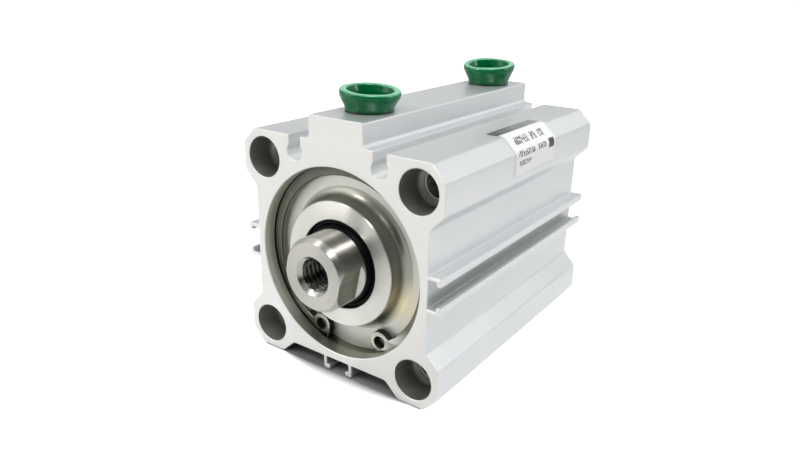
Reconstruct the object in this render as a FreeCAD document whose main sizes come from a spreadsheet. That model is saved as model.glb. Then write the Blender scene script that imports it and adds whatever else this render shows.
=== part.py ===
import FreeCAD
import Part
import Sketcher
import os
import re

# Compact pneumatic cylinder, 40 mm bore and 30 mm stroke, as it comes apart on a bench.
# The rod axis is X and the rod points to +X. The front mounting face is x = 0.
# Both air ports are in the boss on top, at +Z. All sizes are in millimetres.

# Driving sizes. Depths and rear positions are counted backwards from the front face.
SIZES = {
    # Extruded tube, distances from the rod axis unless the name says otherwise
    "body_length": 69.5,
    "square_width": 52.0,
    "corner_start": 22.7,
    "boss_width": 14.0,
    "boss_height": 5.0,
    "recess_floor": 22.8,
    "recess_root": 13.0,
    "recess_mouth": 16.4,
    "rail_top": 25.8,
    "rail_lip": 1.0,
    "rail_outside": 3.9,
    "rail_inside": 3.1,
    "rail_gap": 2.2,
    "groove_side": 11.0,
    "groove_level": 22.7,
    "groove_radius": 2.05,
    "groove_neck": 3.15,
    "edge_radius": 0.25,
    # Machining of the tube
    "bore_radius": 20.0,
    "seat_radius": 21.0,
    "seat_depth": 9.0,
    "mouth_chamfer": 0.15,
    "snap_radius": 22.0,
    "snap_front": 3.15,
    "snap_width": 1.9,
    "head_seat": 5.0,
    "lip_radius": 20.25,
    "lip_face": 0.5,
    "lip_length": 0.8,
    "hole_spacing": 40.0,
    "counterbore_radius": 4.5,
    "counterbore_depth": 7.0,
    "drill_radius": 2.55,
    "drill_chamfer": 0.6,
    "port_front": 11.0,
    "port_rear": 8.0,
    "port_radius": 4.35,
    "port_depth": 8.0,
    "port_chamfer": 0.5,
    "passage_radius": 1.7,
    "passage_end": 18.0,
    # Retaining ring
    "ring_front": 3.2,
    "ring_thickness": 1.8,
    "ring_outside": 21.9,
    "ring_inside": 18.85,
    "ring_offset": 0.3,
    "ring_turn": 2.85,
    "lug_circle": 18.9,
    "lug_angle": 25.75,
    "lug_radius": 2.4,
    "lug_hole": 1.3,
    "lug_fillet": 1.2,
    "gap_reach": 44.0,
    # Rod cover, its bush and its seals
    "hub_front": 0.5,
    "hub_radius": 13.8,
    "hub_bore": 9.6,
    "hub_chamfer": 0.25,
    "hub_fillet": 1.2,
    "cover_floor": 5.0,
    "cover_radius": 20.95,
    "cover_rear": 18.5,
    "cover_relief": 18.5,
    "cover_groove_front": 6.0,
    "cover_groove_width": 2.2,
    "cover_groove_radius": 19.3,
    "cover_ring_section": 0.83,
    "seal_groove_front": 1.7,
    "seal_groove_rear": 6.2,
    "seal_groove_radius": 11.5,
    "seal_play": 0.05,
    "seal_front": 0.95,
    "seal_collar_radius": 9.5,
    "seal_edge_radius": 8.9,
    "seal_lip_radius": 8.05,
    "seal_lip_start": 1.3,
    "seal_lip_end": 2.2,
    "seal_back_radius": 8.7,
    "seal_back_start": 2.9,
    "seal_back_end": 4.95,
    "seal_rear_lip": 5.55,
    "cover_land": 8.3,
    "bush_front": 7.0,
    "bush_rear": 18.2,
    "bush_outside": 9.0,
    "bush_inside": 8.04,
    # Head plate
    "plate_rear": 69.0,
    "plate_radius": 20.95,
    "plate_spigot": 18.5,
    "plate_inner": 63.0,
    "plate_groove_front": 65.3,
    "plate_groove_width": 2.0,
    "plate_groove_radius": 19.5,
    "plate_ring_section": 0.73,
    "plate_centre": 1.2,
    # Rod
    "rod_radius": 8.0,
    "rod_reach": 7.4,
    "rod_taper_length": 1.1,
    "rod_taper_height": 0.85,
    "flats_width": 14.0,
    "flats_length": 6.2,
    "flats_turn": -12.0,
    "thread_drill": 3.4,
    "thread_mouth": 4.25,
    "thread_depth": 16.0,
    "thread_point": 2.0,
    "rod_shoulder": 50.4,
    "spigot_radius": 6.0,
    "spigot_end": 58.6,
    "spigot_chamfer": 0.4,
    "rod_ring_front": 52.0,
    "rod_ring_width": 1.5,
    "rod_ring_floor": 4.9,
    "rod_ring_section": 0.55,
    "screw_hole": 3.05,
    "screw_hole_end": 44.0,
    # Piston, in two halves with the magnet clamped between them
    "piston_radius": 19.6,
    "piston_front": 49.4,
    "piston_split": 55.6,
    "piston_rear": 62.1,
    "piston_bore": 6.03,
    "piston_recess": 8.05,
    "piston_chamfer": 0.6,
    "seal_front_side": 51.0,
    "seal_rear_side": 54.4,
    "seal_floor": 15.5,
    "seal_heel": 0.9,
    "magnet_rear": 58.0,
    "magnet_seat": 15.0,
    "magnet_radius": 19.2,
    "wear_front_side": 58.7,
    "wear_rear_side": 60.9,
    "wear_floor": 18.2,
    "sliding_play": 0.05,
    "piston_step": 58.8,
    "screw_clear": 3.2,
    "screw_seat": 59.3,
    "bumper_inside": 10.0,
    "bumper_outside": 14.0,
    "bumper_depth": 1.5,
    "bumper_proud": 0.8,
    "fit_play": 0.02,
    # Countersunk piston screw
    "screw_radius": 3.0,
    "screw_head": 5.8,
    "screw_face": 61.95,
    "screw_tip": 46.0,
    "screw_key": 4.0,
    "screw_key_depth": 2.0,
    # Transport plugs in the ports
    "plug_stem": 4.3,
    "plug_stem_length": 6.0,
    "plug_stem_taper": 0.35,
    "plug_base": 5.2,
    "plug_height": 5.0,
    "plug_flare": 3.6,
    "plug_rim": 6.45,
    "plug_mouth": 4.95,
    "plug_well": 3.3,
    "plug_floor": 1.0,
    "plug_rim_fillet": 0.45,
    # Label folded over the tube's corner
    "label_front": 27.3,
    "label_length": 20.0,
    "label_top_edge": 18.7,
    "label_side_edge": 18.1,
    "label_thickness": 0.12,
}

NAMES = re.compile(r"[a-z]+(?:_[a-z]+)*")


def bound(text):
    """The expression in text with each size name turned into a reference to the sheet."""
    return NAMES.sub(lambda m: "Sizes." + m.group() if m.group() in SIZES else m.group(), text)


def value(text):
    """What an expression in size names comes to, in millimetres."""
    found = sheet.evalExpression(bound(text))
    return float(getattr(found, "Value", found))


def new_body(label):
    """An empty body whose label is the sub-part's name."""
    body = doc.addObject("PartDesign::Body", label)
    body.Label = label
    subparts.append(body)
    return body


def new_sketch(body, name, plane, offset="0"):
    """A sketch on one of the body's origin planes, moved along that plane's normal by offset."""
    sketch = body.newObject("Sketcher::SketchObject", name)
    support = [item for item in body.Origin.OriginFeatures if item.Role == plane][0]
    sketch.AttachmentSupport = [(support, "")]
    sketch.MapMode = "FlatFace"
    sketch.setExpression("AttachmentOffset.Base.z", bound(offset))
    return sketch


def bind(sketch, constraint, text):
    """Adds a constraint whose size follows the expression in text."""
    index = sketch.addConstraint(constraint)
    sketch.setExpression("Constraints[%d]" % index, text)


def fix_point(sketch, curve, end, across, up):
    """Holds one end of a curve at a place given by two expressions."""
    for kind, axis, text in (("DistanceX", -2, across), ("DistanceY", -1, up)):
        size = value(text)
        if abs(size) < 1e-9:
            sketch.addConstraint(Sketcher.Constraint("PointOnObject", curve, end, axis))
        elif size > 0:
            bind(sketch, Sketcher.Constraint(kind, -1, 1, curve, end, size), bound(text))
        else:
            flipped = "-(%s)" % bound(text)
            bind(sketch, Sketcher.Constraint(kind, curve, end, -1, 1, -size), flipped)


def add_outline(sketch, corners):
    """A closed outline of straight lines through corners, each a pair of expressions."""
    places = [FreeCAD.Vector(value(across), value(up), 0) for across, up in corners]
    first = sketch.GeometryCount
    count = len(places)
    for index in range(count):
        sketch.addGeometry(Part.LineSegment(places[index], places[(index + 1) % count]))
    for index in range(count):
        following = first + (index + 1) % count
        sketch.addConstraint(Sketcher.Constraint("Coincident", first + index, 2, following, 1))
    for index, (across, up) in enumerate(corners):
        fix_point(sketch, first + index, 1, across, up)


def add_circle(sketch, across, up, radius):
    """A circle whose centre and radius are expressions."""
    centre = FreeCAD.Vector(value(across), value(up), 0)
    size = value(radius)
    index = sketch.addGeometry(Part.Circle(centre, FreeCAD.Vector(0, 0, 1), size))
    bind(sketch, Sketcher.Constraint("Radius", index, size), bound(radius))
    fix_point(sketch, index, 3, across, up)


def finish_feature(body, feature, removes):
    """Rebuilds the body, and stops if a feature that removes or adds material did neither."""
    before = body.Shape.Volume if not body.Shape.isNull() else 0.0
    doc.recompute()
    change = body.Shape.Volume - before
    if (change > -1e-6) if removes else (change < 1e-6):
        raise RuntimeError("%s changed the volume of %s by %g" % (feature.Label, body.Label, change))
    return feature


def extrude(body, sketch, length, removes=False, forwards=False):
    """Pads or pockets a sketch by a length. Pads on the cross plane run backwards, as pockets do."""
    kind = "PartDesign::Pocket" if removes else "PartDesign::Pad"
    feature = body.newObject(kind, sketch.Name + ("_pocket" if removes else "_pad"))
    feature.Profile = sketch
    feature.Reversed = forwards if removes else not forwards
    feature.setExpression("Length", bound(length))
    return finish_feature(body, feature, removes)


def revolve(body, sketch, axis, removes=False):
    """Turns a sketch once about its own horizontal or vertical axis."""
    kind = "PartDesign::Groove" if removes else "PartDesign::Revolution"
    feature = body.newObject(kind, sketch.Name + "_turned")
    feature.Profile = sketch
    feature.ReferenceAxis = (sketch, [axis])
    feature.Angle = 360
    return finish_feature(body, feature, removes)


def dress_edges(body, kind, name, size, wanted):
    """Fillets or chamfers every edge of the body for which wanted(edge) is true."""
    doc.recompute()
    base = body.Tip
    names = ["Edge%d" % (i + 1) for i, edge in enumerate(base.Shape.Edges) if wanted(edge)]
    if not names:
        raise RuntimeError("%s found no edge on %s" % (name, body.Label))
    feature = body.newObject("PartDesign::" + kind, name)
    feature.Base = (base, names)
    feature.setExpression("Radius" if kind == "Fillet" else "Size", bound(size))
    doc.recompute()
    return feature


def is_circle(edge, radius, depth=None, height=None):
    """True for a whole round edge of that radius, at that x or at that z where one is given."""
    if not isinstance(edge.Curve, Part.Circle) or abs(edge.Curve.Radius - radius) > 1e-4:
        return False
    centre = edge.Curve.Center
    if depth is not None and abs(centre.x + depth) > 1e-4:
        return False
    return height is None or abs(centre.z - height) < 1e-4


def turned_piece(label, corners):
    """A piece turned about the rod axis: its corners are (depth behind the front face, radius)."""
    body = new_body(label)
    sketch = new_sketch(body, label + "_section", "XY_Plane")
    add_outline(sketch, [("-(%s)" % depth, radius) for depth, radius in corners])
    revolve(body, sketch, "H_Axis")
    return body


def turn_about_rod(body, angle):
    """Turns a finished body about the rod axis by an angle in degrees."""
    body.Placement = FreeCAD.Placement(
        FreeCAD.Vector(), FreeCAD.Rotation(FreeCAD.Vector(1, 0, 0), value(angle))
    )
    body.setExpression("Placement.Rotation.Angle", bound(angle))


def rubber_ring(label, depth, radius, section):
    """An O-ring about the rod axis."""
    ring = doc.addObject("Part::Torus", label)
    ring.Label = label
    ring.Placement = FreeCAD.Placement(
        FreeCAD.Vector(-value(depth), 0, 0), FreeCAD.Rotation(FreeCAD.Vector(0, 1, 0), 90)
    )
    ring.setExpression("Radius1", bound(radius))
    ring.setExpression("Radius2", bound(section))
    ring.setExpression("Placement.Base.x", "-(%s)" % bound(depth))
    subparts.append(ring)
    return ring


def side_corners():
    """One flat side of the tube with its two hooked sensor rails, as (distance out, along the side)."""
    half = [
        ("square_width / 2", "corner_start"),
        ("square_width / 2", "recess_mouth"),
        ("recess_floor", "recess_root"),
        ("recess_floor", "rail_outside"),
        ("rail_top", "rail_outside"),
        ("rail_top", "rail_gap"),
        ("rail_top - rail_lip", "rail_gap"),
        ("rail_top - rail_lip", "rail_inside"),
        ("recess_floor", "rail_inside"),
    ]
    return half + [(out, "-(%s)" % along) for out, along in reversed(half)]


def tube_outline():
    """The extrusion's outline: the port boss on top, then the right, bottom and left sides."""
    boss_half = "boss_width / 2"
    boss_top = "square_width / 2 + boss_height"
    corners = [(boss_half, boss_top), (boss_half, "square_width / 2"), ("corner_start", "square_width / 2")]
    corners += [(out, along) for out, along in side_corners()]
    corners += [(along, "-(%s)" % out) for out, along in side_corners()]
    corners += [("-(%s)" % out, "-(%s)" % along) for out, along in side_corners()]
    corners += [("-corner_start", "square_width / 2"), ("-(%s)" % boss_half, "square_width / 2")]
    corners += [("-(%s)" % boss_half, boss_top)]
    return corners


def bore_section():
    """The turned hollow from mouth to rear: cover seat, ring groove, bore, plate seat and rolled lip."""
    rear_seat = "body_length - head_seat"
    lip_start = "body_length - lip_face - lip_length"
    return [
        ("0", "0"),
        ("0", "seat_radius + mouth_chamfer"),
        ("mouth_chamfer", "seat_radius"),
        ("snap_front", "seat_radius"),
        ("snap_front", "snap_radius"),
        ("snap_front + snap_width", "snap_radius"),
        ("snap_front + snap_width", "seat_radius"),
        ("seat_depth", "seat_radius"),
        ("seat_depth", "bore_radius"),
        (rear_seat, "bore_radius"),
        (rear_seat, "seat_radius"),
        (lip_start, "seat_radius"),
        ("body_length - lip_face", "lip_radius"),
        ("body_length", "lip_radius"),
        ("body_length", "0"),
    ]


def make_tube():
    """The extruded tube with its bore, mounting holes and air ports."""
    body = new_body("cylinder_tube")
    blank = new_sketch(body, "tube_blank", "YZ_Plane")
    add_outline(blank, tube_outline())
    extrude(body, blank, "body_length")

    rounds = new_sketch(body, "sensor_grooves", "YZ_Plane")
    necks = new_sketch(body, "sensor_necks", "YZ_Plane")
    for sign in ("", "-"):
        add_circle(rounds, sign + "groove_side", "groove_level", "groove_radius")
        near = sign + "(groove_side - groove_neck / 2)"
        far = sign + "(groove_side + groove_neck / 2)"
        above = "square_width / 2 + boss_height / 2"
        add_outline(necks, [(near, "groove_level"), (far, "groove_level"), (far, above), (near, above)])
    extrude(body, rounds, "body_length", removes=True)
    extrude(body, necks, "body_length", removes=True)

    length = value("body_length")
    dress_edges(
        body, "Fillet", "extruded_edges", "edge_radius",
        lambda edge: isinstance(edge.Curve, Part.Line) and abs(edge.BoundBox.XLength - length) < 1e-3,
    )

    hollow = new_sketch(body, "bore_section", "XY_Plane")
    add_outline(hollow, [("-(%s)" % depth, radius) for depth, radius in bore_section()])
    revolve(body, hollow, "H_Axis", removes=True)

    drills = new_sketch(body, "mounting_drills", "YZ_Plane")
    front_heads = new_sketch(body, "front_counterbores", "YZ_Plane")
    rear_heads = new_sketch(body, "rear_counterbores", "YZ_Plane", "-body_length")
    for across in ("hole_spacing / 2", "-hole_spacing / 2"):
        for up in ("hole_spacing / 2", "-hole_spacing / 2"):
            add_circle(drills, across, up, "drill_radius")
            add_circle(front_heads, across, up, "counterbore_radius")
            add_circle(rear_heads, across, up, "counterbore_radius")
    extrude(body, drills, "body_length", removes=True)
    extrude(body, front_heads, "counterbore_depth", removes=True)
    extrude(body, rear_heads, "counterbore_depth", removes=True, forwards=True)
    floors = (value("counterbore_depth"), value("body_length - counterbore_depth"))
    drill = value("drill_radius")
    dress_edges(
        body, "Chamfer", "thread_starts", "drill_chamfer",
        lambda edge: any(is_circle(edge, drill, depth=floor) for floor in floors),
    )

    boss_top = "square_width / 2 + boss_height"
    ports = new_sketch(body, "air_ports", "XY_Plane", boss_top)
    passages = new_sketch(body, "air_passages", "XY_Plane", boss_top)
    for along in ("-port_front", "port_rear - body_length"):
        add_circle(ports, along, "0", "port_radius")
        add_circle(passages, along, "0", "passage_radius")
    extrude(body, ports, "port_depth", removes=True)
    extrude(body, passages, boss_top + " - passage_end", removes=True)
    mouth = value("port_radius")
    top = value(boss_top)
    dress_edges(
        body, "Chamfer", "port_mouths", "port_chamfer", lambda edge: is_circle(edge, mouth, height=top)
    )


def make_retaining_ring():
    """The internal retaining ring: an open band with a pierced lug at each end of its gap."""
    body = new_body("retaining_ring")
    plane = ("YZ_Plane", "-ring_front")
    band = new_sketch(body, "ring_band", *plane)
    add_circle(band, "0", "0", "ring_outside")
    add_circle(band, "0", "-ring_offset", "ring_inside")
    extrude(body, band, "ring_thickness")
    gap = new_sketch(body, "ring_gap", *plane)
    sine = "sin(lug_angle * 1 deg)"
    cosine = "cos(lug_angle * 1 deg)"
    beyond = "gap_reach * "
    add_outline(gap, [("0", "0"), ("-%s%s" % (beyond, sine), "-%s%s" % (beyond, cosine)),
                      (beyond + sine, "-%s%s" % (beyond, cosine))])
    extrude(body, gap, "ring_thickness", removes=True)
    lugs = new_sketch(body, "ring_lugs", *plane)
    holes = new_sketch(body, "ring_lug_holes", *plane)
    for sign in ("", "-"):
        across = sign + "lug_circle * " + sine
        up = "-lug_circle * " + cosine
        add_circle(lugs, across, up, "lug_radius")
        add_circle(holes, across, up, "lug_hole")
    extrude(body, lugs, "ring_thickness")
    thickness = value("ring_thickness")
    inner_reach = value("ring_inside + ring_offset")
    dress_edges(
        body, "Fillet", "lug_roots", "lug_fillet",
        lambda edge: abs(edge.BoundBox.XLength - thickness) < 1e-3
        and isinstance(edge.Curve, Part.Line)
        and FreeCAD.Vector(0, edge.Vertexes[0].Y, edge.Vertexes[0].Z).Length < inner_reach,
    )
    extrude(body, holes, "ring_thickness", removes=True)
    turn_about_rod(body, "ring_turn")


def make_cover_group():
    """The rod cover that the ring holds in, with its bush, rod seal and O-ring."""
    groove_rear = "cover_groove_front + cover_groove_width"
    cover = turned_piece("rod_cover", [
        ("hub_front", "hub_bore + hub_chamfer"),
        ("hub_front", "hub_radius - hub_chamfer"),
        ("hub_front + hub_chamfer", "hub_radius"),
        ("cover_floor", "hub_radius"),
        ("cover_floor", "cover_radius"),
        ("cover_groove_front", "cover_radius"),
        ("cover_groove_front", "cover_groove_radius"),
        (groove_rear, "cover_groove_radius"),
        (groove_rear, "cover_radius"),
        ("seat_depth", "cover_radius"),
        ("seat_depth", "cover_relief"),
        ("cover_rear", "cover_relief"),
        ("cover_rear", "bush_outside"),
        ("bush_front", "bush_outside"),
        ("bush_front", "cover_land"),
        ("seal_groove_rear", "cover_land"),
        ("seal_groove_rear", "seal_groove_radius"),
        ("seal_groove_front", "seal_groove_radius"),
        ("seal_groove_front", "hub_bore"),
        ("hub_front + hub_chamfer", "hub_bore"),
    ])
    hub = value("hub_radius")
    floor = value("cover_floor")
    dress_edges(cover, "Fillet", "hub_root", "hub_fillet", lambda edge: is_circle(edge, hub, depth=floor))

    turned_piece("rod_bush", [
        ("bush_front", "bush_inside"),
        ("bush_front", "bush_outside"),
        ("bush_rear", "bush_outside"),
        ("bush_rear", "bush_inside"),
    ])
    turned_piece("rod_seal", [
        ("seal_groove_rear - seal_play", "seal_groove_radius - seal_play"),
        ("seal_groove_front + seal_play", "seal_groove_radius - seal_play"),
        ("seal_groove_front + seal_play", "seal_collar_radius"),
        ("seal_front", "seal_collar_radius"),
        ("seal_front", "seal_edge_radius"),
        ("seal_lip_start", "seal_lip_radius"),
        ("seal_lip_end", "seal_lip_radius"),
        ("seal_back_start", "seal_back_radius"),
        ("seal_back_end", "seal_back_radius"),
        ("seal_rear_lip", "seal_lip_radius"),
        ("seal_groove_rear - seal_play", "seal_lip_radius"),
    ])
    rubber_ring(
        "cover_o_ring", "cover_groove_front + cover_groove_width / 2",
        "cover_groove_radius + cover_ring_section + fit_play", "cover_ring_section",
    )


def make_head_group():
    """The plate that closes the rear end, held in by the tube's rolled lip, with its O-ring."""
    groove_rear = "plate_groove_front + plate_groove_width"
    shoulder = "body_length - head_seat"
    turned_piece("head_plate", [
        ("plate_inner", "0"),
        ("plate_inner", "plate_spigot"),
        (shoulder, "plate_spigot"),
        (shoulder, "plate_radius"),
        ("plate_groove_front", "plate_radius"),
        ("plate_groove_front", "plate_groove_radius"),
        (groove_rear, "plate_groove_radius"),
        (groove_rear, "plate_radius"),
        ("plate_rear - lip_length", "plate_radius"),
        ("plate_rear", "lip_radius - seal_play"),
        ("plate_rear", "plate_centre"),
        ("plate_rear - plate_centre", "0"),
    ])
    rubber_ring(
        "head_o_ring", "plate_groove_front + plate_groove_width / 2",
        "plate_groove_radius + plate_ring_section + fit_play", "plate_ring_section",
    )


def make_rod():
    """The piston rod: a tapped hole and spanner flats in front, a spigot for the piston behind."""
    ring_rear = "rod_ring_front + rod_ring_width"
    thread_end = "thread_depth - rod_reach"
    body = turned_piece("piston_rod", [
        (thread_end + " + thread_point", "0"),
        (thread_end, "thread_drill"),
        ("-(rod_reach - thread_mouth + thread_drill)", "thread_drill"),
        ("-rod_reach", "thread_mouth"),
        ("-rod_reach", "rod_radius - rod_taper_height"),
        ("rod_taper_length - rod_reach", "rod_radius"),
        ("rod_shoulder", "rod_radius"),
        ("rod_shoulder", "spigot_radius"),
        ("rod_ring_front", "spigot_radius"),
        ("rod_ring_front", "rod_ring_floor"),
        (ring_rear, "rod_ring_floor"),
        (ring_rear, "spigot_radius"),
        ("spigot_end - spigot_chamfer", "spigot_radius"),
        ("spigot_end", "spigot_radius - spigot_chamfer"),
        ("spigot_end", "screw_hole"),
        ("screw_hole_end", "screw_hole"),
        ("screw_hole_end - thread_point", "0"),
    ])
    flats = new_sketch(body, "spanner_flats", "XY_Plane", "rod_radius")
    flats_front = "rod_reach + rod_taper_length"
    flats_rear = "rod_reach - flats_length"
    for sign in ("", "-"):
        near = sign + "flats_width / 2"
        far = sign + "flats_width"
        # The flats run out at 45 degrees.
        slope_end = flats_rear + " - flats_width / 2"
        add_outline(flats, [(flats_front, near), (flats_rear, near), (slope_end, far), (flats_front, far)])
    extrude(body, flats, "2 * rod_radius", removes=True)
    turn_about_rod(body, "flats_turn")

    rubber_ring(
        "rod_o_ring", "rod_ring_front + rod_ring_width / 2",
        "rod_ring_floor + rod_ring_section + fit_play", "rod_ring_section",
    )


def make_piston():
    """Both piston halves and what they carry: seal, wear ring, magnet, bumpers and the clamping screw."""
    front_pit = "piston_front + bumper_depth"
    turned_piece("piston_front", [
        ("piston_front", "piston_recess"),
        ("piston_front", "bumper_inside"),
        (front_pit, "bumper_inside"),
        (front_pit, "bumper_outside"),
        ("piston_front", "bumper_outside"),
        ("piston_front", "piston_radius - piston_chamfer"),
        ("piston_front + piston_chamfer", "piston_radius"),
        ("seal_front_side", "piston_radius"),
        ("seal_front_side", "seal_floor"),
        ("seal_rear_side", "seal_floor"),
        ("seal_rear_side", "piston_radius"),
        ("piston_split", "piston_radius"),
        ("piston_split", "piston_bore"),
        ("rod_shoulder", "piston_bore"),
        ("rod_shoulder", "piston_recess"),
    ])
    rear_pit = "piston_rear - bumper_depth"
    turned_piece("piston_rear", [
        ("piston_split", "piston_bore"),
        ("piston_split", "magnet_seat"),
        ("magnet_rear", "magnet_seat"),
        ("magnet_rear", "piston_radius"),
        ("wear_front_side", "piston_radius"),
        ("wear_front_side", "wear_floor"),
        ("wear_rear_side", "wear_floor"),
        ("wear_rear_side", "piston_radius"),
        ("piston_rear - piston_chamfer", "piston_radius"),
        ("piston_rear", "piston_radius - piston_chamfer"),
        ("piston_rear", "bumper_outside"),
        (rear_pit, "bumper_outside"),
        (rear_pit, "bumper_inside"),
        ("piston_rear", "bumper_inside"),
        ("piston_rear", "screw_clear + piston_rear - screw_seat"),
        ("screw_seat", "screw_clear"),
        ("piston_step", "screw_clear"),
        ("piston_step", "piston_bore"),
    ])
    turned_piece("magnet", [
        ("piston_split + fit_play", "magnet_seat + fit_play"),
        ("piston_split + fit_play", "magnet_radius"),
        ("magnet_rear - fit_play", "magnet_radius"),
        ("magnet_rear - fit_play", "magnet_seat + fit_play"),
    ])
    middle = "(seal_front_side + seal_rear_side) / 2"
    turned_piece("piston_seal", [
        ("seal_front_side + sliding_play", "seal_floor + sliding_play"),
        ("seal_front_side + sliding_play", "bore_radius - seal_heel"),
        (middle + " - seal_heel / 2", "bore_radius - sliding_play"),
        (middle + " + seal_heel / 2", "bore_radius - sliding_play"),
        ("seal_rear_side - sliding_play", "bore_radius - seal_heel"),
        ("seal_rear_side - sliding_play", "seal_floor + sliding_play"),
    ])
    turned_piece("wear_ring", [
        ("wear_front_side + sliding_play", "wear_floor + sliding_play"),
        ("wear_front_side + sliding_play", "bore_radius - sliding_play"),
        ("wear_rear_side - sliding_play", "bore_radius - sliding_play"),
        ("wear_rear_side - sliding_play", "wear_floor + sliding_play"),
    ])
    for label, face, pit in (
        ("front_bumper", "piston_front - bumper_proud", front_pit + " - fit_play"),
        ("rear_bumper", "piston_rear + bumper_proud", rear_pit + " + fit_play"),
    ):
        turned_piece(label, [
            (face, "bumper_inside + fit_play"),
            (face, "bumper_outside - fit_play"),
            (pit, "bumper_outside - fit_play"),
            (pit, "bumper_inside + fit_play"),
        ])
    screw = turned_piece("piston_screw", [
        ("screw_tip", "0"),
        ("screw_tip", "screw_radius"),
        ("screw_face - screw_head + screw_radius", "screw_radius"),
        ("screw_face", "screw_head"),
        ("screw_face", "0"),
    ])
    key = new_sketch(screw, "screw_key", "YZ_Plane", "-screw_face")
    side = "screw_key / 2"
    rise = "screw_key / 2 * tan(30 deg)"
    point = "screw_key / 2 / cos(30 deg)"
    add_outline(key, [(side, "-" + rise), (side, rise), ("0", point), ("-" + side, rise),
                      ("-" + side, "-" + rise), ("0", "-" + point)])
    extrude(screw, key, "screw_key_depth", removes=True, forwards=True)


def make_plug(label, along):
    """A moulded cup whose stem pushes into one air port, turned about the port's own axis."""
    body = new_body(label)
    section = new_sketch(body, label + "_section", "XZ_Plane")
    add_outline(section, [
        ("0", "plug_floor - plug_stem_length"),
        ("0", "-plug_stem_length"),
        ("plug_stem - plug_stem_taper", "-plug_stem_length"),
        ("plug_stem", "0"),
        ("plug_base", "0"),
        ("plug_rim", "plug_flare"),
        ("plug_rim", "plug_height"),
        ("plug_mouth", "plug_height"),
        ("plug_well", "plug_floor - plug_stem_length"),
    ])
    revolve(body, section, "V_Axis")
    height = value("plug_height")
    dress_edges(
        body, "Fillet", label + "_rim", "plug_rim_fillet",
        lambda edge: isinstance(edge.Curve, Part.Circle) and abs(edge.Curve.Center.z - height) < 1e-4,
    )
    body.setExpression("Placement.Base.x", bound(along))
    body.setExpression("Placement.Base.z", bound("square_width / 2 + boss_height"))


def make_label():
    """A thin label lying on the tube's top, its corner flat and its side."""
    body = new_body("label")
    sketch = new_sketch(body, "label_section", "YZ_Plane", "-label_front")
    face = "square_width / 2"
    outer = "square_width / 2 + label_thickness"
    bend = "corner_start + label_thickness * tan(22.5 deg)"
    add_outline(sketch, [
        ("label_top_edge", face), ("corner_start", face), (face, "corner_start"), (face, "label_side_edge"),
        (outer, "label_side_edge"), (outer, bend), (bend, outer), ("label_top_edge", outer),
    ])
    extrude(body, sketch, "label_length")


doc = FreeCAD.newDocument("compact_cylinder")
sheet = doc.addObject("Spreadsheet::Sheet", "Sizes")
for row, (name, size) in enumerate(SIZES.items(), start=1):
    sheet.set("A%d" % row, name)
    sheet.set("B%d" % row, repr(size))
    sheet.setAlias("B%d" % row, name)
doc.recompute()

subparts = []
make_tube()
make_retaining_ring()
make_cover_group()
make_head_group()
make_rod()
make_piston()
make_plug("front_port_plug", "-port_front")
make_plug("rear_port_plug", "port_rear - body_length")
make_label()
doc.recompute()

for item in doc.Objects:
    if "Invalid" in item.State or "Error" in item.State:
        raise RuntimeError("%s failed: %s" % (item.Label, item.State))
for part in subparts:
    if part.Shape.isNull() or not part.Shape.isValid() or len(part.Shape.Solids) != 1:
        raise RuntimeError("%s is not one valid solid" % part.Label)

os.makedirs("parts", exist_ok=True)
for part in subparts:
    part.Shape.exportStep(os.path.join("parts", part.Label + ".step"))
    box = part.Shape.BoundBox
    print("%-16s volume %9.1f  x %.2f to %.2f  z %.2f to %.2f" % (
        part.Label, part.Shape.Volume, box.XMin, box.XMax, box.ZMin, box.ZMax))
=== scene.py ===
import math

import bmesh
import bpy
import numpy as np
from mathutils import Matrix, Vector
from mathutils.geometry import tessellate_polygon


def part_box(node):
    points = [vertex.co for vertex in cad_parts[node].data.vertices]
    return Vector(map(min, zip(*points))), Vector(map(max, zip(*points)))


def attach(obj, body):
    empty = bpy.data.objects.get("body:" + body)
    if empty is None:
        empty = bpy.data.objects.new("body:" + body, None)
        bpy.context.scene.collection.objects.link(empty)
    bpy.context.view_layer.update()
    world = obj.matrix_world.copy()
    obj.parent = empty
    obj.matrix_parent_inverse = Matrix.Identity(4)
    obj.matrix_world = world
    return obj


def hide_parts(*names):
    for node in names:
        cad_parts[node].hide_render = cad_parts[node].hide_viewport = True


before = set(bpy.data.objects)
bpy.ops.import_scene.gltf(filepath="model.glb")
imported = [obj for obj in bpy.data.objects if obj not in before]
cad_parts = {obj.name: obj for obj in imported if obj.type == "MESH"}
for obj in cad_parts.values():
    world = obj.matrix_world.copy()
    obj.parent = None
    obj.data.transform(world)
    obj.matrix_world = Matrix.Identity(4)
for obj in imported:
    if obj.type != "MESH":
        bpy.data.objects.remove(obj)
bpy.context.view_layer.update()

# Shapes are worked out in millimetres, x along the rod, and go into their meshes in metres.
MM = 0.001
WELD = 1e-7
FULL_TURN = 2 * np.pi


def in_mm(node):
    """Lowest and highest corner of a CAD node, in millimetres."""
    low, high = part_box(node)
    return np.array(low) / MM, np.array(high) / MM


TUBE_LOW, TUBE_HIGH = in_mm("cylinder_tube")
ROD_REACH = in_mm("piston_rod")[1][0]
FRONT_PLUG_BOX = in_mm("front_port_plug")
REAR_PLUG_BOX = in_mm("rear_port_plug")
LABEL_LOW, LABEL_HIGH = in_mm("label")

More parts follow.
